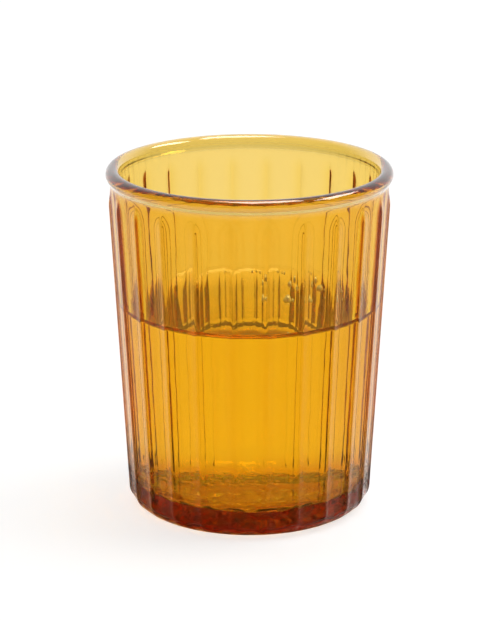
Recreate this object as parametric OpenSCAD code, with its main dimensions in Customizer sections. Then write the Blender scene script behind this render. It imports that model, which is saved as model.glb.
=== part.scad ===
// Fluted tea glass of pressed amber glass, a little over half full of a clear drink.
// Millimetres, +Z up. The origin is on the glass's axis, on the surface that it stands on.

/* [Glass] */
// Overall height, to the top of the rim
height = 92; // [80:1:110]
// Outside diameter of the rounded rim
rim_d = 75; // [70:0.5:86]
// Thickness of the rounded rim
rim_t = 3.8; // [3:0.1:4]
// Outside diameter over the ridges, carried down to the table
base_d = 64.2; // [58:0.2:70]
// How far inside the outside of the rim the line of the ridges ends
ridge_inset = 0.4; // [0.1:0.1:0.8]
// Height of the plain neck with its rim, from the end of the ridges to the top
neck_h = 4.4; // [4.2:0.1:8]
// How much further in the neck lies than the bottom of a flute
neck_extra = 0.1; // [0.05:0.05:0.3]
// Thickness of the wall over a ridge, at the floor
wall_t = 3.4; // [2.8:0.1:4.5]
// Thickness of the base, from the table to the floor inside
floor_t = 6.3; // [5:0.1:9]
// Rounding of the heel, outside
heel_r = 5.5; // [3:0.1:6]
// Rounding of the corner between the wall and the floor, inside
corner_r = 4.5; // [2:0.1:6]
// Diameter of the shallow hollow in the underside
punt_d = 44; // [30:1:50]
// Height of the shallow hollow in the underside
punt_h = 1.2; // [0.6:0.1:2]

/* [Flutes] */
// Number of flutes round the wall
flute_count = 24; // [18:1:30]
// Depth of a flute below the ridges
flute_depth = 0.7; // [0.7:0.05:1.3]
// Width of the narrow ridge left between two flutes
ridge_w = 0.6; // [0.4:0.05:1.2]
// Height over which the ridges sink into the neck
ridge_fade = 2.4; // [1.5:0.1:8]

/* [Drink] */
// Height of the drink's surface above the table
fill_level = 53.7; // [20:0.1:75]
// Gap between the drink and the glass
drink_gap = 0.2; // [0.1:0.05:0.4]

/* [Bubbles] */
// Height of a bubble above the drink, as a share of its diameter
bubble_rise = 0.4; // [0.25:0.05:0.5]

/* [Hidden] */
$fn = 64;

// How far a cutter runs past the face that it cuts
cut_over = 2;

// Bubbles on the drink: bearing from the right, distance in from the drink's edge, diameter
bubble_spots = [
    [35, 18.6, 3.8], [25.5, 16.6, 1.9], [60, 7, 3.2], [54, 2.4, 3], [41, 5.9, 3.2],
    [86, 1.2, 1.1], [82, 1.1, 1], [75, 1.3, 1.1], [71, 1.2, 1.2],
    [35, 4.9, 1], [19, 7.8, 1.2], [-67, 6.6, 0.9]
];

// The rim's round, in section
rim_r = rim_t / 2;
rim_mid = rim_d / 2 - rim_r;
rim_z = height - rim_r;

// The line of the ridges, which leans out up to the neck
neck_z = height - neck_h;
ridge_top = rim_d / 2 - ridge_inset;
ridge_lean = atan((ridge_top - base_d / 2) / neck_z);
function ridge_at(z) = base_d / 2 + z * tan(ridge_lean);

// The neck lies behind the flutes, and the ridges sink into it from fade_z on
neck_r = ridge_top - flute_depth - neck_extra;
fade_z = neck_z - ridge_fade;

// The heel's round, tangent to the table and to the line of the ridges
heel_mid = ridge_at(heel_r) - heel_r / cos(ridge_lean);

// The line of the inner wall, from the floor up to the inside of the rim
bore_foot = ridge_at(floor_t) - wall_t;
bore_top = rim_d / 2 - rim_t;
bore_lean = atan((bore_top - bore_foot) / (rim_z - floor_t));
function bore_at(z) = bore_foot + (z - floor_t) * tan(bore_lean);
function inside_at(z, gap) = bore_at(z) - gap / cos(bore_lean);
drink_edge = inside_at(fill_level, drink_gap);

// The hollow in the underside is the cap of a large ball
punt_ball_r = (pow(punt_d / 2, 2) + pow(punt_h, 2)) / (2 * punt_h);

// A flute is a scoop of round section that leaves ridge_w of the ridge circle beside it
function flute_half_angle(z) = 180 / flute_count - ridge_w / 2 / ridge_at(z) * 180 / PI;
function scoop_depth_r(z) = ridge_at(z) - flute_depth;
function scoop_chord_r(z) = ridge_at(z) * cos(flute_half_angle(z));
function scoop_span(z) = ridge_at(z) * sin(flute_half_angle(z));
function scoop_r(z) =
    let (rise = scoop_chord_r(z) - scoop_depth_r(z))
    (pow(scoop_span(z), 2) + pow(rise, 2)) / (2 * rise);

// The scoop widens from below the table up to the neck, which it runs out into
scoop_low = -cut_over;
scoop_high = neck_z;
scoop_line = (scoop_high - scoop_low) / cos(ridge_lean);
scoop_flare = asin((scoop_r(scoop_high) - scoop_r(scoop_low)) / scoop_line);

// The flutes go round in even steps, and one of them faces the front
flute_step = 360 / flute_count;
front_turn = -90 - flute_step / 2;

// Section of a round-cornered hollow or filling inside the wall, drawn in by gap, up to the height top
module inside_section(gap, top) {
    corner = corner_r - gap;
    low = floor_t + gap;
    mid_z = floor_t + corner_r;
    mid = inside_at(mid_z, corner_r);
    polygon([
        [0, low],
        [mid, low],
        [mid + corner * cos(bore_lean), mid_z - corner * sin(bore_lean)],
        [inside_at(top, gap), top],
        [0, top]
    ]);
    translate([mid, mid_z]) circle(corner);
}

// Section of the glass as if it were solid, over the ridges
module outside_section() {
    polygon([
        [0, 0],
        [heel_mid, 0],
        [heel_mid + heel_r * cos(ridge_lean), heel_r - heel_r * sin(ridge_lean)],
        [ridge_at(fade_z), fade_z],
        [neck_r, neck_z],
        [neck_r, rim_z],
        [0, rim_z]
    ]);
    translate([heel_mid, heel_r]) circle(heel_r);
    translate([rim_mid, rim_z]) circle(rim_r);
}

// One scoop: a tilted cone whose inner side lies along the bottom of the flute
module flute_scoop() {
    low_r = scoop_r(scoop_low);
    translate([scoop_depth_r(scoop_low), 0, scoop_low])
        rotate([0, ridge_lean + scoop_flare, 0])
            translate([low_r, 0, 0])
                cylinder(h = scoop_line * cos(scoop_flare), r1 = low_r, r2 = scoop_r(scoop_high));
}

// The pressed glass: one piece, fluted outside and smooth inside, with a hollowed underside
module tumbler() {
    color([0.93, 0.6, 0.1, 0.7])
        rotate([0, 0, front_turn])
            difference() {
                rotate_extrude()
                    difference() {
                        outside_section();
                        inside_section(0, rim_z);
                    }
                translate([0, 0, punt_h - punt_ball_r]) sphere(r = punt_ball_r);
                for (i = [0 : flute_count - 1])
                    rotate([0, 0, (i + 0.5) * flute_step]) flute_scoop();
            }
}

// The drink, which fills the glass up to its level
module drink() {
    color([0.97, 0.86, 0.5, 0.5])
        rotate_extrude() inside_section(drink_gap, fill_level);
}

// One bubble: the dome that stands above the drink
module bubble(diameter) {
    rise = diameter * bubble_rise;
    intersection() {
        translate([0, 0, rise - diameter / 2]) sphere(d = diameter);
        translate([-diameter, -diameter, 0]) cube([2 * diameter, 2 * diameter, diameter]);
    }
}

// The bubbles that float on the drink
module bubbles() {
    color([1, 0.95, 0.8, 0.4])
        for (spot = bubble_spots)
            rotate([0, 0, spot[0]])
                translate([drink_edge - spot[1], 0, fill_level]) bubble(spot[2]);
}

tumbler();
drink();
bubbles();
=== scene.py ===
"""Looks of a fluted tea glass of amber pressed glass, a little over half full of a clear drink.

One geometry tree turns the glass, the drink and a bubble's film from their sections, and sinks the
flutes. Two more set the films out and swell the drink up under them. Lengths are in metres unless a
name says otherwise.
"""
import logging
import math
from collections.abc import Mapping, Sequence
from dataclasses import dataclass, field
from enum import Enum
from typing import Any, NamedTuple

import bmesh
import bpy
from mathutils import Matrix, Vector


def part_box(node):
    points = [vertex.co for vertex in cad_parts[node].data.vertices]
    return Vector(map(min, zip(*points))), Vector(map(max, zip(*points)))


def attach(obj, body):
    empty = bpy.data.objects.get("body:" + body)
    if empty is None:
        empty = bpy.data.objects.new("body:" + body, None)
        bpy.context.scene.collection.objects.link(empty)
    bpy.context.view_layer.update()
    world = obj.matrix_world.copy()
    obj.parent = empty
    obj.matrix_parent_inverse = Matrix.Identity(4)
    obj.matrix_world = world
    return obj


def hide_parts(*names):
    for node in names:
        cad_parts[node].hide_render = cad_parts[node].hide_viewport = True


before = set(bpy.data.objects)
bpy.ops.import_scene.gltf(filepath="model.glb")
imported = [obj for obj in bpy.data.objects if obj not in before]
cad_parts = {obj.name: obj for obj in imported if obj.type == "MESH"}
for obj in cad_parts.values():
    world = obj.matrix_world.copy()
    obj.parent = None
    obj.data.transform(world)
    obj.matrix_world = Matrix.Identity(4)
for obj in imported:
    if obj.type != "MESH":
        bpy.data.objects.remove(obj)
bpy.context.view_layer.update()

MM = 0.001
TURN = 2.0 * math.pi
QUARTER_TURN = math.pi / 2.0
# Points that lie closer than this are one point
MERGE_DISTANCE = 1e-6
WHITE = (1.0, 1.0, 1.0, 1.0)
PHOTO_WIDTH, PHOTO_HEIGHT = 500, 621
SENSOR_WIDTH_MM = 36.0

log = logging.getLogger("tea_glass")


class Body(Enum):
    """The CAD bodies that the pieces ride on."""

    TUMBLER = "tumbler"
    DRINK = "drink"


class Slot(Enum):
    """The record's material slots."""

    AMBER_GLASS = "amber_glass"
    CLEAR_DRINK = "clear_drink"
    BUBBLE_FILM = "bubble_film"


def put(name: str, data: bpy.types.ID) -> bpy.types.Object:
    """Put a mesh, a lamp or a camera into the scene as an object at the origin.

    Args:
        name: The object's name.
        data: What the object holds.

    Returns:
        The object.
    """
    made = bpy.data.objects.new(name, data)
    bpy.context.scene.collection.objects.link(made)
    return made


class Term:
    """One value in a node tree, whose operators add Math nodes."""

    def __init__(self, graph: "Graph", socket: bpy.types.NodeSocket) -> None:
        """Wrap an output socket of a node in the graph."""
        self.graph = graph
        self.socket = socket

    def __add__(self, other: "Term | float") -> "Term":
        """This value plus another."""
        return self.graph.math("ADD", self, other)

    __radd__ = __add__

    def __sub__(self, other: "Term | float") -> "Term":
        """This value less another."""
        return self.graph.math("SUBTRACT", self, other)

    def __rsub__(self, other: float) -> "Term":
        """A number less this value."""
        return self.graph.math("SUBTRACT", other, self)

    def __mul__(self, other: "Term | float") -> "Term":
        """This value times another."""
        return self.graph.math("MULTIPLY", self, other)

    __rmul__ = __mul__

    def __truediv__(self, other: "Term | float") -> "Term":
        """This value divided by another."""
        return self.graph.math("DIVIDE", self, other)

    def __rtruediv__(self, other: float) -> "Term":
        """A number divided by this value."""
        return self.graph.math("DIVIDE", other, self)

    def __mod__(self, other: "Term | float") -> "Term":
        """What is left of this value after whole steps of another."""
        return self.graph.math("FLOORED_MODULO", self, other)

    def floor(self) -> "Term":
        """The whole number below this value."""
        return self.graph.math("FLOOR", self)

    def sine(self) -> "Term":
        """The sine of this angle."""
        return self.graph.math("SINE", self)

    def cosine(self) -> "Term":
        """The cosine of this angle."""
        return self.graph.math("COSINE", self)

    def size(self) -> "Term":
        """This value without its sign."""
        return self.graph.math("ABSOLUTE", self)

    def power(self, exponent: float) -> "Term":
        """This value raised to a power."""
        return self.graph.math("POWER", self, exponent)

    def at_least(self, other: "Term | float") -> "Term":
        """The larger of this value and another."""
        return self.graph.math("MAXIMUM", self, other)

    def softly_at_least(self, other: float, blend: "Term | float") -> "Term":
        """The larger of this value and a number, rounded where they meet."""
        return self.graph.math("SMOOTH_MAX", self, other, blend)

    def ease(self, low: "Term | float", high: "Term | float") -> "Term":
        """A smooth step over this value.

        Args:
            low: Where the step is still 0.
            high: Where it has reached 1.

        Returns:
            The step.
        """
        step = self.graph.node(
            "ShaderNodeMapRange",
            {"interpolation_type": "SMOOTHSTEP"},
            {"Value": self, "From Min": low, "From Max": high},
        )
        return Term(self.graph, step.outputs["Result"])


class Graph:
    """A node tree that is written as Python expressions."""

    def __init__(self, tree: bpy.types.NodeTree) -> None:
        """Empty a node tree to build in it."""
        self.tree = tree
        self.tree.nodes.clear()

    def node(
        self,
        kind: str,
        settings: Mapping[str, Any] | None = None,
        sockets: Mapping[str | int, Any] | None = None,
    ) -> bpy.types.Node:
        """Add a node.

        Args:
            kind: The node's type.
            settings: Its own settings, which are set first.
            sockets: Values or links of its inputs, by name or number.

        Returns:
            The node.
        """
        made = self.tree.nodes.new(kind)
        for name, value in (settings or {}).items():
            setattr(made, name, value)
        for name, value in (sockets or {}).items():
            self.feed(made.inputs[name], value)
        return made

    def feed(self, socket: bpy.types.NodeSocket, value: Any) -> None:
        """Link a node's input, or set its number.

        Args:
            socket: The input.
            value: A term or a socket to link, or the number or colour to set.
        """
        if isinstance(value, Term):
            value = value.socket
        if isinstance(value, bpy.types.NodeSocket):
            self.tree.links.new(value, socket)
        else:
            socket.default_value = value

    def math(self, operation: str, *values: "Term | float") -> Term:
        """Add a Math node on the values and return its result."""
        made = self.node("ShaderNodeMath", {"operation": operation}, dict(enumerate(values)))
        return Term(self, made.outputs["Value"])

    def split(self, vector: bpy.types.NodeSocket) -> tuple[Term, Term, Term]:
        """The three parts of a vector."""
        outlets = self.node("ShaderNodeSeparateXYZ", None, {"Vector": vector}).outputs
        return Term(self, outlets["X"]), Term(self, outlets["Y"]), Term(self, outlets["Z"])

    def join(self, x: "Term | float", y: "Term | float", z: "Term | float") -> bpy.types.NodeSocket:
        """A vector of three parts."""
        return self.node("ShaderNodeCombineXYZ", None, {"X": x, "Y": y, "Z": z}).outputs["Vector"]

    def noise(self, place: bpy.types.NodeSocket, scale: float, detail: float) -> Term:
        """A noise over a place, with about as many grains to a metre as its scale."""
        sockets = {"Vector": place, "Scale": scale, "Detail": detail}
        return Term(self, self.node("ShaderNodeTexNoise", None, sockets).outputs["Fac"])

    def light(self, kind: str, colour: Sequence[float], level: float) -> bpy.types.NodeSocket:
        """A shader that gives off light of a colour, at a level."""
        return self.node(kind, None, {"Color": colour, "Strength": level}).outputs[0]

    def mix(
        self, share: Term, first: bpy.types.NodeSocket, second: bpy.types.NodeSocket
    ) -> bpy.types.NodeSocket:
        """Two shaders mixed, by the share of the second."""
        return self.node("ShaderNodeMixShader", None, {0: share, 1: first, 2: second}).outputs["Shader"]


class Form(Graph):
    """A geometry tree with named inputs, which a modifier sets by their identifiers."""

    SHARP_ANGLE = math.radians(28.0)

    def __init__(self, name: str) -> None:
        """Start a tree that takes a geometry and a finish and gives a geometry.

        Args:
            name: The tree's name.
        """
        tree = bpy.data.node_groups.new(name, "GeometryNodeTree")
        super().__init__(tree)
        self.identifiers: dict[str, str] = {}
        self.entry = self.node("NodeGroupInput")
        tree.interface.new_socket("Geometry", in_out="OUTPUT", socket_type="NodeSocketGeometry")
        self.geometry = self.inlet("Geometry", "NodeSocketGeometry")
        self.finish = self.inlet("Finish", "NodeSocketMaterial")

    def inlet(self, name: str, kind: str) -> bpy.types.NodeSocket:
        """Add a named input to the tree.

        Args:
            name: The input's name.
            kind: Its socket type.

        Returns:
            The input's socket inside the tree.
        """
        item = self.tree.interface.new_socket(name, in_out="INPUT", socket_type=kind)
        self.identifiers[name] = item.identifier
        return next(socket for socket in self.entry.outputs if socket.identifier == item.identifier)

    def number(self, name: str) -> Term:
        """Add a named input that is a number."""
        return Term(self, self.inlet(name, "NodeSocketFloat"))

    def count(self, name: str) -> Term:
        """Add a named input that is a whole number."""
        return Term(self, self.inlet(name, "NodeSocketInt"))

    def scene_object(self, name: str) -> bpy.types.NodeSocket:
        """Add a named input that is an object, and return the object's geometry."""
        chosen = self.inlet(name, "NodeSocketObject")
        return self.node("GeometryNodeObjectInfo", None, {"Object": chosen}).outputs["Geometry"]

    def attribute(self, name: str) -> bpy.types.NodeSocket:
        """A number that the points hold under a name."""
        held = self.node("GeometryNodeInputNamedAttribute", {"data_type": "FLOAT"}, {"Name": name})
        return held.outputs["Attribute"]

    def close(self, geometry: bpy.types.NodeSocket) -> None:
        """End the tree: realize it, smooth it up to its sharp edges and give it its finish.

        Args:
            geometry: What the tree has made.
        """
        real = self.node("GeometryNodeRealizeInstances", None, {"Geometry": geometry})
        smooth = self.node("GeometryNodeSetShadeSmooth", None, {"Geometry": real.outputs["Geometry"]})
        bend = self.node("GeometryNodeInputMeshEdgeAngle").outputs["Unsigned Angle"]
        sharp = self.node(
            "GeometryNodeSetShadeSmooth",
            {"domain": "EDGE"},
            {
                "Geometry": smooth.outputs["Geometry"],
                "Selection": self.math("GREATER_THAN", Term(self, bend), self.SHARP_ANGLE),
                "Shade Smooth": False,
            },
        )
        dressed = self.node(
            "GeometryNodeSetMaterial",
            None,
            {"Geometry": sharp.outputs["Geometry"], "Material": self.finish},
        )
        self.node("NodeGroupOutput", None, {"Geometry": dressed.outputs["Geometry"]})

    def grow(self, piece: bpy.types.Object, values: Mapping[str, Any]) -> bpy.types.Object:
        """Turn an object into the plain mesh that the tree makes of it.

        Args:
            piece: An object that holds the tree's own geometry.
            values: The tree's inputs, by name.

        Returns:
            The same object, with its new mesh and no modifier.
        """
        modifier = piece.modifiers.new(self.tree.name, "NODES")
        modifier.node_group = self.tree
        for name, value in values.items():
            modifier[self.identifiers[name]] = value
        evaluated = piece.evaluated_get(bpy.context.evaluated_depsgraph_get())
        mesh = bpy.data.meshes.new_from_object(evaluated)
        piece.modifiers.clear()
        piece.data = mesh
        return piece


class SectionPoint(NamedTuple):
    """A point of a section: its distance from the axis, its height and how deep the flutes sink there.

    The last is a share of the flutes' whole depth.
    """

    radius: float
    height: float
    fluted: float


@dataclass
class Section:
    """The half outline of a turned piece, from the axis below round to the axis above."""

    points: list[SectionPoint] = field(default_factory=list)

    def line(self, radius: float, height: float, steps: int, fluted: bool = False) -> None:
        """Go straight on to a point.

        Args:
            radius: The point's distance from the axis.
            height: The point's height.
            steps: How many points the line adds.
            fluted: Whether flutes reach the line.
        """
        start = self.points[-1]
        for step in range(1, steps + 1):
            share = step / steps
            self.points.append(
                SectionPoint(
                    start.radius + (radius - start.radius) * share,
                    start.height + (height - start.height) * share,
                    float(fluted),
                )
            )

    def arc(
        self,
        middle: tuple[float, float],
        radius: float,
        angles: tuple[float, float],
        steps: int,
        fluted: tuple[float, float] = (0.0, 0.0),
    ) -> None:
        """Go round an arc, along which the flutes sink softly at first.

        Args:
            middle: The arc's middle, as a distance from the axis and a height.
            radius: The arc's radius.
            angles: Where it starts and ends, in radians from straight outwards.
            steps: How many points the arc adds after its first one.
            fluted: The share of the flutes' depth at its start and its end.
        """
        first, last = angles
        for step in range(steps + 1):
            share = step / steps
            angle = first + (last - first) * share
            sunk = fluted[0] + (fluted[1] - fluted[0]) * (1.0 - math.cos(share * QUARTER_TURN))
            self.points.append(
                SectionPoint(
                    middle[0] + radius * math.cos(angle),
                    middle[1] + radius * math.sin(angle),
                    sunk,
                )
            )

    def as_object(self, name: str) -> bpy.types.Object:
        """Draw the section as a wire, with the fluted stretches marked on its points.

        Args:
            name: The wire's name.

        Returns:
            The wire.
        """
        mesh = bpy.data.meshes.new(name)
        corners = [(point.radius, 0.0, point.height) for point in self.points]
        mesh.from_pydata(corners, [(i, i + 1) for i in range(len(corners) - 1)], [])
        mark = mesh.attributes.new(TurnedForm.MARK, "FLOAT", "POINT")
        mark.data.foreach_set("value", [point.fluted for point in self.points])
        return put(name, mesh)


@dataclass(frozen=True)
class Flutes:
    """The flutes of a turned piece, along a line of ridges that leans out from its foot."""

    count: int = 24
    depth: float = 0.7 * MM
    ridge_width: float = 0.6 * MM
    # How softly a flute meets its ridges, as a share of its depth
    rounding: float = 0.08
    foot_radius: float = 0.0
    slope: float = 0.0
    # The heights between which the ridges sink away
    fade_low: float = 0.0
    fade_high: float = 1.0


class TurnedForm(Form):
    """The tree that turns a section round the axis and sinks flutes into its marked stretches."""

    MARK = "fluted"
    # Keeps a whole number that was divided from being rounded down by one
    NUDGE = 1e-6
    # How far the columns of points crowd together towards the ridges
    BUNCHING = 0.55
    # How flat the bottom of a flute is: 2 is a round section, more is flatter
    FLATNESS = 3.2

    def __init__(self) -> None:
        """Build the tree."""
        super().__init__("turned_form")
        columns = self.count("Columns")
        count = self.count("Flute Count")
        depth = self.number("Flute Depth")
        ridge_width = self.number("Ridge Width")
        rounding = self.number("Ridge Rounding")
        foot_radius = self.number("Foot Radius")
        slope = self.number("Slope")
        fade_low = self.number("Fade Low")
        fade_high = self.number("Fade High")

        # A grid of points, with a column for each place round the axis and a row for each section point
        size = self.node("GeometryNodeAttributeDomainSize", None, {"Geometry": self.geometry})
        rows = Term(self, size.outputs["Point Count"])
        grid = self.node("GeometryNodeMeshGrid", None, {"Vertices X": columns + 1.0, "Vertices Y": rows})
        index = Term(self, self.node("GeometryNodeInputIndex").outputs["Index"])
        column = (index / rows + self.NUDGE).floor()
        row = index - column * rows

        place = self.node("GeometryNodeInputPosition").outputs["Position"]
        radius, _, height = self.split(self.sample("FLOAT_VECTOR", place, row).socket)
        fluted = self.sample("FLOAT", self.attribute(self.MARK), row)

        # The bearing of each column, counted in flutes from the middle of the one at the front
        turned = column * count / columns
        step = (turned + 0.5) % 1.0 - 0.5
        bunched = step + (step * TURN).sine() * (self.BUNCHING / TURN)
        angle = (turned - step + bunched) * TURN / count

        # How deep the flutes sink there
        ridge = foot_radius + height * slope
        half_step = (0.5 / count) * TURN
        half_flute = half_step - ridge_width * 0.5 / ridge
        across = (bunched * TURN / count / half_flute).size()
        hollow = (1.0 - across.power(self.FLATNESS)).softly_at_least(0.0, rounding)
        shown = 1.0 - height.ease(fade_low, fade_high)
        reach = radius - depth * (1.0 - shown * (1.0 - hollow)) * fluted

        moved = self.node(
            "GeometryNodeSetPosition",
            None,
            {
                "Geometry": grid.outputs["Mesh"],
                "Position": self.join(reach * angle.sine(), reach * angle.cosine() * -1.0, height),
            },
        )
        merged = self.node(
            "GeometryNodeMergeByDistance",
            None,
            {"Geometry": moved.outputs["Geometry"], "Distance": MERGE_DISTANCE},
        )
        self.close(merged.outputs["Geometry"])

    def sample(self, kind: str, value: bpy.types.NodeSocket, row: Term) -> Term:
        """Read a value of the section.

        Args:
            kind: The value's data type.
            value: The value, over the section's points.
            row: The number of the point to read.

        Returns:
            The value at that point.
        """
        made = self.node(
            "GeometryNodeSampleIndex",
            {"data_type": kind, "domain": "POINT"},
            {"Geometry": self.geometry, "Value": value, "Index": row},
        )
        return Term(self, made.outputs["Value"])

    def turn(
        self,
        name: str,
        section: Section,
        columns: int,
        finish: bpy.types.Material,
        flutes: Flutes = Flutes(),
    ) -> bpy.types.Object:
        """Make a turned piece.

        Args:
            name: The piece's name.
            section: Its half outline.
            columns: How many points go round it.
            finish: Its material.
            flutes: The flutes on its marked stretches; a plain piece marks none.

        Returns:
            The piece, as a plain mesh.
        """
        return self.grow(
            section.as_object(name),
            {
                "Finish": finish,
                "Columns": columns,
                "Flute Count": flutes.count,
                "Flute Depth": flutes.depth,
                "Ridge Width": flutes.ridge_width,
                "Ridge Rounding": flutes.rounding,
                "Foot Radius": flutes.foot_radius,
                "Slope": flutes.slope,
                "Fade Low": flutes.fade_low,
                "Fade High": flutes.fade_high,
            },
        )


@dataclass(frozen=True)
class ClearFinish:
    """A finish that light goes through.

    The tint colours light as it enters and leaves. The absorption, per metre for red, green and blue,
    colours it on its way through. A finish of less than full transmission is a little milky. The skin
    is a clear coat that mirrors all colours alike. The rim also has a skin, from a given height upwards
    and nowhere else, which paints a highlight on the rim.
    """

    name: str
    index: float
    absorption: tuple[float, float, float] = (0.0, 0.0, 0.0)
    tint: tuple[float, float, float] = (1.0, 1.0, 1.0)
    transmission: float = 1.0
    specular_tint: tuple[float, float, float] = (1.0, 1.0, 1.0)
    skin: float = 0.0
    skin_index: float = 1.7
    # From this height up the rim has a clear coat that paints a highlight on it; 0 is none
    painted_highlight_rim: float = 0.0
    # Slow waves, stretched upwards, and the stronger ripples of a pressed base
    wave_size: float = 4.0 * MM
    wave_stretch: float = 3.0
    wave_height: float = 0.0
    wave_detail: float = 1.2
    base_wave_size: float = 4.0 * MM
    base_wave_height: float = 0.0
    base_wave_detail: float = 0.5
    base_height: float = 12.0 * MM
    # How rough the scuffs are where the piece stands
    scuff: float = 0.0

    # Density is a little over the strongest absorption, so that no colour of the volume falls to 0
    HEADROOM = 1.05
    # The height over which the skin of the rim's painted highlight comes in
    RIM_FADE = 2.0 * MM
    # The ripples of the base are whole up to this share of its height
    BASE_FADE = 0.6
    # Scuffs: how many lie in a metre, how fine they are, the values of the noise between which they
    # come in, and the heights between which they end
    SCUFFS_PER_METRE = 900.0
    SCUFF_DETAIL = 3.0
    SCUFF_EDGES = (0.5, 0.7)
    SCUFF_HEIGHTS = (0.2 * MM, 1.0 * MM)

    def make(self) -> bpy.types.Material:
        """Build the material.

        Returns:
            The material, with its surface and its volume.
        """
        material = bpy.data.materials.new(self.name)
        material.use_nodes = True
        graph = Graph(material.node_tree)
        surface = graph.node(
            "ShaderNodeBsdfPrincipled",
            None,
            {
                "Base Color": (*self.tint, 1.0),
                "Roughness": 0.0,
                "IOR": self.index,
                "Transmission Weight": self.transmission,
                "Coat Weight": self.skin,
                "Coat IOR": self.skin_index,
                "Coat Roughness": 0.0,
                "Specular Tint": (*self.specular_tint, 1.0),
            },
        )
        output = graph.node("ShaderNodeOutputMaterial", None, {"Surface": surface.outputs["BSDF"]})
        self.shape_surface(graph, surface)
        density = max(self.absorption) * self.HEADROOM
        if density > 0.0:
            left = [1.0 - strength / density for strength in self.absorption]
            sockets = {"Color": (*left, 1.0), "Density": density}
            volume = graph.node("ShaderNodeVolumeAbsorption", None, sockets)
            graph.feed(output.inputs["Volume"], volume.outputs["Volume"])
        return material

    def shape_surface(self, graph: Graph, surface: bpy.types.Node) -> None:
        """Give the surface its waves, its painted highlight on the rim and its scuffed foot.

        Args:
            graph: The material's tree.
            surface: Its surface shader.
        """
        place = graph.node("ShaderNodeTexCoord").outputs["Object"]
        x, y, height = graph.split(place)
        if self.wave_height > 0.0:
            stretched = graph.join(x, y, height / self.wave_stretch)
            relief = graph.noise(stretched, 1.0 / self.wave_size, self.wave_detail)
            if self.base_wave_height > 0.0:
                ripple = graph.noise(place, 1.0 / self.base_wave_size, self.base_wave_detail)
                low = 1.0 - height.ease(self.base_height * self.BASE_FADE, self.base_height)
                relief = relief + ripple * (low * (self.base_wave_height / self.wave_height))
            bump = graph.node("ShaderNodeBump", None, {"Height": relief, "Distance": self.wave_height})
            graph.feed(surface.inputs["Normal"], bump.outputs["Normal"])
        if self.painted_highlight_rim > 0.0:
            # A clear coat on the rim only, which paints a highlight there
            skin = height.ease(self.painted_highlight_rim - self.RIM_FADE, self.painted_highlight_rim)
            graph.feed(surface.inputs["Coat Weight"], skin)
        if self.scuff > 0.0:
            grain = graph.noise(place, self.SCUFFS_PER_METRE, self.SCUFF_DETAIL).ease(*self.SCUFF_EDGES)
            foot = 1.0 - height.ease(*self.SCUFF_HEIGHTS)
            graph.feed(surface.inputs["Roughness"], foot * grain * self.scuff)


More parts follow.
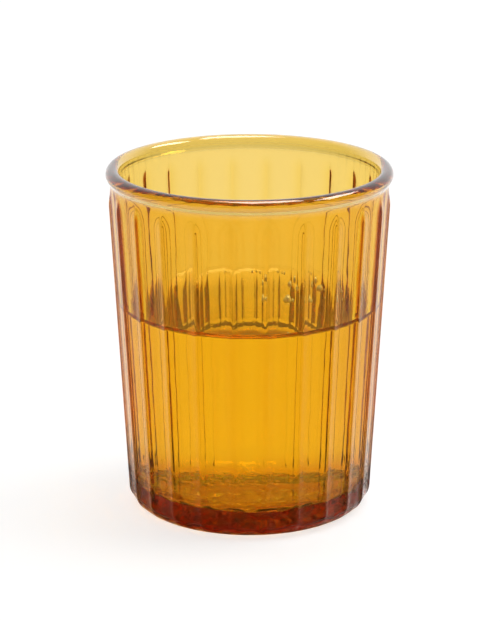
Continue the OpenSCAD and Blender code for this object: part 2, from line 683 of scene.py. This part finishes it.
@dataclass
class Tumbler:
    """The pressed glass, fluted outside and smooth inside."""

    finish: ClearFinish
    height: float
    rim_d: float = 75.0 * MM
    rim_t: float = 3.8 * MM
    base_d: float = 64.2 * MM
    ridge_inset: float = 0.4 * MM
    neck_h: float = 4.4 * MM
    neck_hollow: float = 1.5 * MM
    ridge_fade: float = 5.5 * MM
    wall_t: float = 3.4 * MM
    floor_t: float = 6.3 * MM
    heel_r: float = 5.5 * MM
    corner_r: float = 4.5 * MM
    punt_d: float = 44.0 * MM
    punt_h: float = 1.2 * MM
    flute_depth: float = 0.7 * MM
    columns: int = 480

    def __post_init__(self) -> None:
        """Work out the rim's round, the two lines of the wall and the corner inside."""
        self.rim_r = self.rim_t / 2.0
        self.rim = (self.rim_d / 2.0 - self.rim_r, self.height - self.rim_r)
        self.neck_z = self.height - self.neck_h
        self.lean = math.atan((self.rim_d / 2.0 - self.ridge_inset - self.base_d / 2.0) / self.neck_z)
        self.bore_foot = self.ridge_at(self.floor_t) - self.wall_t
        self.bore_lean = math.atan(
            (self.rim_d / 2.0 - self.rim_t - self.bore_foot) / (self.rim[1] - self.floor_t)
        )
        corner_z = self.floor_t + self.corner_r
        self.corner = (self.bore_at(corner_z) - self.corner_r / math.cos(self.bore_lean), corner_z)

    def ridge_at(self, height: float) -> float:
        """The radius over the ridges at a height."""
        return self.base_d / 2.0 + height * math.tan(self.lean)

    def bore_at(self, height: float) -> float:
        """The radius of the inner wall at a height."""
        return self.bore_foot + (height - self.floor_t) * math.tan(self.bore_lean)

    def flutes(self) -> Flutes:
        """The flutes, which lie along the line of the ridges and fade out at the neck."""
        return Flutes(
            depth=self.flute_depth,
            foot_radius=self.base_d / 2.0,
            slope=math.tan(self.lean),
            fade_low=self.neck_z - self.ridge_fade,
            fade_high=self.neck_z,
        )

    def neck(self) -> tuple[tuple[float, float], float]:
        """The neck's hollow, which touches the bottom of the flutes and the rim's round.

        Returns:
            The hollow's middle, and the angle at which it meets the rim's round.
        """
        out = (math.cos(self.lean), -math.sin(self.lean))
        up = (math.sin(self.lean), math.cos(self.lean))
        foot = (self.base_d / 2.0 - self.flute_depth, 0.0)
        rim = (self.rim[0] - foot[0], self.rim[1] - foot[1])
        rim_out = rim[0] * out[0] + rim[1] * out[1]
        rim_up = rim[0] * up[0] + rim[1] * up[1]
        drop = math.sqrt((self.neck_hollow + self.rim_r) ** 2 - (self.neck_hollow - rim_out) ** 2)
        along = rim_up - drop
        middle = (
            foot[0] + up[0] * along + out[0] * self.neck_hollow,
            foot[1] + up[1] * along + out[1] * self.neck_hollow,
        )
        meeting = math.atan2(self.rim[1] - middle[1], self.rim[0] - middle[0])
        return middle, meeting

    def section(self) -> Section:
        """Draw the half outline.

        Returns:
            The underside, heel, wall, neck, rim, bore and floor.
        """
        section = Section()
        ball_r = ((self.punt_d / 2.0) ** 2 + self.punt_h**2) / (2.0 * self.punt_h)
        ball_z = self.punt_h - ball_r
        ball_edge = math.acos(self.punt_d / 2.0 / ball_r)
        section.arc((0.0, ball_z), ball_r, (QUARTER_TURN, ball_edge), steps=14)
        heel = (self.ridge_at(self.heel_r) - self.heel_r / math.cos(self.lean), self.heel_r)
        section.line(heel[0], 0.0, steps=6)
        section.arc(heel, self.heel_r, (-QUARTER_TURN, -self.lean), steps=32, fluted=(0.0, 1.0))
        fade_z = self.neck_z - self.ridge_fade
        section.line(self.ridge_at(fade_z), fade_z, steps=24, fluted=True)
        hollow, meeting = self.neck()
        start = math.pi - self.lean
        start_z = hollow[1] + self.neck_hollow * math.sin(start)
        section.line(self.ridge_at(start_z), start_z, steps=18, fluted=True)
        section.arc(hollow, self.neck_hollow, (start, meeting), steps=12)
        section.arc(self.rim, self.rim_r, (meeting - math.pi, math.pi), steps=30)
        wall_end = -self.bore_lean
        section.line(
            self.corner[0] + self.corner_r * math.cos(wall_end),
            self.corner[1] + self.corner_r * math.sin(wall_end),
            steps=16,
        )
        section.arc(self.corner, self.corner_r, (wall_end, -QUARTER_TURN), steps=16)
        section.line(0.0, self.floor_t, steps=10)
        return section

    def build(self, form: TurnedForm) -> bpy.types.Object:
        """Turn the glass, dress it and put it in the place of its CAD node.

        Args:
            form: The tree that turns sections.

        Returns:
            The glass.
        """
        finish = self.finish.make()
        glass = form.turn("amber_tumbler", self.section(), self.columns, finish, self.flutes())
        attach(glass, Body.TUMBLER.value)
        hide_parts("tumbler")
        return glass


@dataclass
class Drink:
    """The drink, which wets the wall and climbs it a little at its edge."""

    finish: ClearFinish
    tumbler: Tumbler
    level: float
    # The drink's skin lies this far inside the glass, so that no air shows between them
    overlap: float = 0.08 * MM
    # How steeply the surface meets the wall, and the length over which surface tension holds it up
    edge_slope: float = math.radians(62.0)
    capillary_length: float = 2.5 * MM
    edge_steps: int = 28
    columns: int = 240

    # How the edge's points share out its slope: 1 is evenly, more sets them closer where it flattens
    EDGE_CROWDING = 1.5

    def edge(self) -> list[tuple[float, float]]:
        """The climbing edge, as distances in from the wall and heights above the level.

        The height follows from the slope, as it does for a liquid at a wall, and each short step
        inwards is the drop over that step divided by its slope.

        Returns:
            The edge's points, from the wall inwards.
        """
        shares = [1.0 - step / self.edge_steps for step in range(self.edge_steps)]
        slopes = [self.edge_slope * share**self.EDGE_CROWDING for share in shares]
        heights = [2.0 * self.capillary_length * math.sin(slope / 2.0) for slope in slopes]
        points = [(0.0, heights[0])]
        for i in range(1, self.edge_steps):
            fall = heights[i - 1] - heights[i]
            inward = points[-1][0] + fall / math.tan((slopes[i - 1] + slopes[i]) / 2.0)
            points.append((inward, heights[i]))
        return points

    def surface_at(self, x: float, y: float) -> float:
        """Find the drink's surface over a place.

        Args:
            x: The place's distance to the right of the axis.
            y: Its distance behind the axis.

        Returns:
            The surface's height.
        """
        edge = self.edge()
        inward = self.tumbler.bore_at(self.level + edge[0][1]) - math.hypot(x, y)
        rise = 0.0
        for (near, high), (far, low) in zip(edge, edge[1:]):
            if near <= inward <= far:
                rise = high + (low - high) * (inward - near) / (far - near)
        return self.level + rise

    def section(self) -> Section:
        """Draw the half outline.

        Returns:
            The bottom, corner, side, climbing edge and surface.
        """
        glass = self.tumbler
        section = Section([SectionPoint(0.0, glass.floor_t - self.overlap, 0.0)])
        section.line(glass.corner[0], glass.floor_t - self.overlap, steps=8)
        wall_start = -glass.bore_lean
        section.arc(glass.corner, glass.corner_r + self.overlap, (-QUARTER_TURN, wall_start), steps=16)
        edge = self.edge()
        top = self.level + edge[0][1]
        section.line(glass.bore_at(top) + self.overlap, top, steps=16)
        for inward, rise in edge:
            section.line(glass.bore_at(top) - inward, self.level + rise, steps=1)
        section.line(0.0, self.level, steps=12)
        return section

    def build(self, form: TurnedForm, swells: "SwellForm", spots: bpy.types.Object) -> bpy.types.Object:
        """Turn the drink, dress it and put it in the place of its CAD node.

        Args:
            form: The tree that turns sections.
            swells: The tree that swells a piece up under bubbles.
            spots: The places of the bubbles.

        Returns:
            The drink.
        """
        finish = self.finish.make()
        drink = form.turn("clear_drink", self.section(), self.columns, finish)
        swells.grow(drink, {"Finish": finish, "Spots": spots})
        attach(drink, Body.DRINK.value)
        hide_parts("drink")
        return drink


class BubbleSpot(NamedTuple):
    """A bubble on the drink: its middle, seen from above, and its radius."""

    x: float
    y: float
    radius: float


class SpotForm(Form):
    """A tree that sets a shape of unit radius on points, at the size that each point holds."""

    SIZE = "bubble_radius"

    def spread(self, points: bpy.types.NodeSocket, shape: bpy.types.NodeSocket) -> bpy.types.NodeSocket:
        """Set the shape on the points.

        Args:
            points: The points, which hold their sizes.
            shape: The shape of unit radius.

        Returns:
            The shapes, as instances.
        """
        radius = Term(self, self.attribute(self.SIZE))
        made = self.node(
            "GeometryNodeInstanceOnPoints",
            None,
            {"Points": points, "Instance": shape, "Scale": self.join(radius, radius, radius)},
        )
        return made.outputs["Instances"]


class FilmForm(SpotForm):
    """The tree that sets a film on each point."""

    def __init__(self) -> None:
        """Build the tree."""
        super().__init__("bubble_films")
        self.close(self.spread(self.geometry, self.scene_object("Film")))


class SwellForm(SpotForm):
    """The tree that swells a piece up into a round cap under each bubble."""

    SEGMENTS = 28

    def __init__(self, radius: float, sunk: float) -> None:
        """Build the tree.

        Args:
            radius: The cap's radius under a bubble of unit radius.
            sunk: How far its middle lies under the bubble's place.
        """
        super().__init__("bubble_swells")
        spots = self.scene_object("Spots")
        ball = self.node(
            "GeometryNodeMeshUVSphere",
            None,
            {"Segments": self.SEGMENTS, "Rings": self.SEGMENTS // 2, "Radius": radius},
        )
        lower = self.node(
            "GeometryNodeTransform",
            None,
            {"Geometry": ball.outputs["Mesh"], "Translation": (0.0, 0.0, -sunk)},
        )
        balls = self.node(
            "GeometryNodeRealizeInstances",
            None,
            {"Geometry": self.spread(spots, lower.outputs["Geometry"])},
        )
        joined = self.node(
            "GeometryNodeMeshBoolean",
            {"operation": "UNION", "solver": "EXACT"},
            {"Mesh 2": balls.outputs["Geometry"]},
        )
        self.feed(joined.inputs["Mesh 2"], self.geometry)
        self.close(joined.outputs["Mesh"])


@dataclass
class Bubbles:
    """The bubbles that float on the drink, each a thin film over a swell of the drink."""

    finish: ClearFinish
    drink: Drink
    # Sizes of a film of unit radius: its thickness, how far the swell under it reaches into it, and
    # how far its middle lies under the drink's surface
    film_t: float = 0.1
    film_overlap: float = 0.02
    sunk: float = 0.2
    columns: int = 32

    # Where a film ends under the drink's surface, as an angle from straight outwards
    FOOT = math.radians(-25.0)

    def spots(self) -> list[BubbleSpot]:
        """Find the places and sizes of the bubbles in the separate domes of their CAD node.

        Returns:
            The bubbles, from left to right.
        """
        shape = bmesh.new()
        shape.from_mesh(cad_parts["bubbles"].data)
        bmesh.ops.remove_doubles(shape, verts=shape.verts, dist=MERGE_DISTANCE)
        left = set(shape.verts)
        found = []
        while left:
            dome = self.connected(left.pop())
            left -= dome
            low = Vector(min(vert.co[i] for vert in dome) for i in range(3))
            high = Vector(max(vert.co[i] for vert in dome) for i in range(3))
            middle = (low + high) / 2.0
            found.append(BubbleSpot(middle.x, middle.y, (high.x - low.x) / 2.0))
        shape.free()
        return sorted(found)

    @staticmethod
    def connected(start: bmesh.types.BMVert) -> set[bmesh.types.BMVert]:
        """Follow the edges of a mesh from one point.

        Args:
            start: The point.

        Returns:
            All points that edges join to it, and the point itself.
        """
        seen = {start}
        queue = [start]
        while queue:
            vert = queue.pop()
            for edge in vert.link_edges:
                other = edge.other_vert(vert)
                if other not in seen:
                    seen.add(other)
                    queue.append(other)
        return seen

    def swell_form(self) -> SwellForm:
        """The tree that swells the drink up into the films."""
        return SwellForm(1.0 + self.film_overlap - self.film_t, self.sunk)

    def film_section(self) -> Section:
        """Draw the half outline of a film of unit radius.

        Returns:
            Its inner and its outer face, which end under the drink's level.
        """
        section = Section()
        middle = (0.0, -self.sunk)
        section.arc(middle, 1.0 - self.film_t, (QUARTER_TURN, self.FOOT), steps=12)
        section.arc(middle, 1.0, (self.FOOT, QUARTER_TURN), steps=14)
        return section

    def places(self, name: str) -> bpy.types.Object:
        """Put a point at the drink's surface for each bubble.

        Args:
            name: The name of the object that holds the points.

        Returns:
            The points, which hold the radius of their bubbles.
        """
        spots = self.spots()
        mesh = bpy.data.meshes.new(name)
        points = [(spot.x, spot.y, self.drink.surface_at(spot.x, spot.y)) for spot in spots]
        mesh.from_pydata(points, [], [])
        size = mesh.attributes.new(SpotForm.SIZE, "FLOAT", "POINT")
        size.data.foreach_set("value", [spot.radius for spot in spots])
        return put(name, mesh)

    def build(self, turned: TurnedForm, films: FilmForm) -> bpy.types.Object:
        """Set the films out, dress them and put them in the place of their CAD node.

        Args:
            turned: The tree that turns sections.
            films: The tree that sets films on points.

        Returns:
            The bubbles.
        """
        finish = self.finish.make()
        film = turned.turn("bubble_film", self.film_section(), self.columns, finish)
        bubbles = self.places("bubbles_on_drink")
        films.grow(bubbles, {"Finish": finish, "Film": film})
        bpy.data.objects.remove(film)
        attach(bubbles, Body.DRINK.value)
        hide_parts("bubbles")
        return bubbles


@dataclass(frozen=True)
class Softbox:
    """A rectangular lamp, placed by its bearing from the front and its height angle, in degrees."""

    name: str
    bearing: float
    elevation: float
    distance: float
    width: float
    height: float
    watts: float
    aim_z: float = 40.0 * MM

    def build(self) -> bpy.types.Object:
        """Hang the lamp and point it at the glass.

        Returns:
            The lamp.
        """
        lamp = bpy.data.lights.new(self.name, "AREA")
        lamp.shape = "RECTANGLE"
        lamp.size = self.width
        lamp.size_y = self.height
        lamp.energy = self.watts
        holder = put(self.name, lamp)
        bearing = math.radians(self.bearing)
        elevation = math.radians(self.elevation)
        flat = self.distance * math.cos(elevation)
        holder.location = (
            flat * math.sin(bearing),
            -flat * math.cos(bearing),
            self.distance * math.sin(elevation),
        )
        aim = Vector((0.0, 0.0, self.aim_z)) - holder.location
        holder.rotation_euler = aim.to_track_quat("-Z", "Y").to_euler()
        return holder


@dataclass
class Studio:
    """The white floor, the soft light and the camera."""

    softboxes: Sequence[Softbox]
    floor_size: float = 2.4
    floor_paint: float = 0.94
    floor_glow: float = 1.1
    # How much of the floor glows white: to the camera, and to reflections and refractions
    camera_glow: float = 0.66
    glass_glow: float = 0.03
    # The room is dim and warm in front and near white behind, where a direction points back by back_edge
    front_level: float = 0.06
    front_colour: tuple[float, float, float] = (1.0, 0.45, 0.2)
    back_level: float = 0.87
    back_edge: float = 0.8
    # How far the room is lifted to white: for the camera, and for reflections and refractions
    camera_lift: float = 1.0
    glass_lift: float = 0.03
    # The camera's place, its tilt in radians, and its focal length in the photo's pixels
    camera_place: tuple[float, float, float] = (0.13 * MM, -680.0 * MM, 260.4 * MM)
    camera_tilt: float = 0.2966
    focal_pixels: float = 2690.8
    # How many surfaces light may go through, and how many it may be mirrored by
    clear_bounces: int = 32
    mirror_bounces: int = 12

    @staticmethod
    def whitened(graph: Graph, camera_share: float, glass_share: float) -> Term:
        """Tell how much of the plain white background a ray sees.

        Args:
            graph: The tree that asks.
            camera_share: The share for a ray from the camera.
            glass_share: The share for a reflection or a refraction.

        Returns:
            The share for what the ray is, or 0 for any other ray.
        """
        path = graph.node("ShaderNodeLightPath").outputs
        camera = Term(graph, path["Is Camera Ray"]) * camera_share
        glossy = Term(graph, path["Is Glossy Ray"]) * glass_share
        refracted = Term(graph, path["Is Transmission Ray"]) * glass_share
        return camera.at_least(glossy).at_least(refracted)

    def floor_finish(self) -> bpy.types.Material:
        """Paint the floor a matt white that glows a little.

        Returns:
            The floor's material.
        """
        paint = bpy.data.materials.new("white_floor")
        paint.use_nodes = True
        graph = Graph(paint.node_tree)
        grey = (self.floor_paint, self.floor_paint, self.floor_paint, 1.0)
        matt = graph.node("ShaderNodeBsdfDiffuse", None, {"Color": grey})
        glow = graph.light("ShaderNodeEmission", WHITE, self.floor_glow)
        share = self.whitened(graph, self.camera_glow, self.glass_glow)
        mixed = graph.mix(share, matt.outputs["BSDF"], glow)
        graph.node("ShaderNodeOutputMaterial", None, {"Surface": mixed})
        return paint

    def floor(self) -> bpy.types.Object:
        """Lay a white floor that keeps the glass's shadow.

        Returns:
            The floor.
        """
        half = self.floor_size / 2.0
        corners = [(-half, -half, 0.0), (half, -half, 0.0), (half, half, 0.0), (-half, half, 0.0)]
        mesh = bpy.data.meshes.new("floor")
        mesh.from_pydata(corners, [], [(0, 1, 2, 3)])
        mesh.materials.append(self.floor_finish())
        floor = put("floor", mesh)
        return floor

    def surroundings(self) -> None:
        """Light the room: near white behind the glass, dim and warm on the camera's side."""
        world = bpy.data.worlds.new("studio")
        world.use_nodes = True
        bpy.context.scene.world = world
        graph = Graph(world.node_tree)
        _, back, _ = graph.split(graph.node("ShaderNodeTexCoord").outputs["Generated"])
        front = graph.light("ShaderNodeBackground", (*self.front_colour, 1.0), self.front_level)
        rear = graph.light("ShaderNodeBackground", WHITE, self.back_level)
        white = graph.light("ShaderNodeBackground", WHITE, 1.0)
        room = graph.mix(back.ease(0.0, self.back_edge), front, rear)
        sky = graph.mix(self.whitened(graph, self.camera_lift, self.glass_lift), room, white)
        graph.node("ShaderNodeOutputWorld", None, {"Surface": sky})

    def camera(self) -> bpy.types.Object:
        """Set the camera up where the photo was taken from.

        Returns:
            The camera.
        """
        lens = bpy.data.cameras.new("camera")
        lens.sensor_fit = "AUTO"
        lens.sensor_width = SENSOR_WIDTH_MM
        lens.lens = self.focal_pixels * SENSOR_WIDTH_MM / max(PHOTO_WIDTH, PHOTO_HEIGHT)
        camera = put("camera", lens)
        camera.location = self.camera_place
        camera.rotation_euler = (QUARTER_TURN - self.camera_tilt, 0.0, 0.0)
        bpy.context.scene.camera = camera
        return camera

    def build(self) -> None:
        """Set the whole studio up."""
        self.floor()
        self.surroundings()
        self.camera()
        for softbox in self.softboxes:
            softbox.build()
        scene = bpy.context.scene
        scene.view_settings.view_transform = "Standard"
        scene.cycles.max_bounces = self.clear_bounces
        scene.cycles.transmission_bounces = self.clear_bounces
        scene.cycles.glossy_bounces = self.mirror_bounces
        scene.cycles.blur_glossy = 0.0


def report(piece: bpy.types.Object) -> None:
    """Log a piece's name, its box in millimetres and its triangles.

    Args:
        piece: The piece.
    """
    corners = [Vector(corner) for corner in piece.bound_box]
    sides = [max(c[i] for c in corners) - min(c[i] for c in corners) for i in range(3)]
    box = " x ".join(f"{side / MM:.1f}" for side in sides)
    piece.data.calc_loop_triangles()
    log.info("%s: %s mm, %d triangles", piece.name, box, len(piece.data.loop_triangles))


def main() -> None:
    """Build the glass, its drink and the studio."""
    logging.basicConfig(level=logging.INFO, format="%(name)s: %(message)s")
    amber = ClearFinish(
        "amber_pressed_glass",
        index=1.52,
        absorption=(24.0, 82.0, 420.0),
        tint=(0.985, 0.855, 0.62),
        specular_tint=(0.6, 0.35, 0.08),
        # A clear coat from this height up paints a highlight on the rim
        painted_highlight_rim=88.5 * MM,
        wave_height=0.07 * MM,
        base_wave_height=0.7 * MM,
        scuff=0.25,
    )
    clear = ClearFinish("clear_drink", index=1.375, absorption=(0.4, 2.5, 38.0))
    film = ClearFinish("bubble_film", index=1.333, transmission=0.35, skin=1.0, skin_index=2.2)
    turned = TurnedForm()
    tumbler = Tumbler(amber, height=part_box("tumbler")[1].z)
    report(tumbler.build(turned))
    drink = Drink(clear, tumbler, level=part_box("drink")[1].z)
    bubbles = Bubbles(film, drink)
    spots = bubbles.places("bubble_places")
    report(drink.build(turned, bubbles.swell_form(), spots))
    report(bubbles.build(turned, FilmForm()))
    bpy.data.objects.remove(spots)
    right_box = Softbox(
        "right_box", bearing=100.0, elevation=50.0, distance=3.0, width=1.8, height=0.8, watts=34.0
    )
    top_box = Softbox(
        "top_box", bearing=120.0, elevation=84.0, distance=2.4, width=1.2, height=1.2, watts=34.0
    )
    Studio(softboxes=(right_box, top_box)).build()


if __name__ == "__main__":
    main()
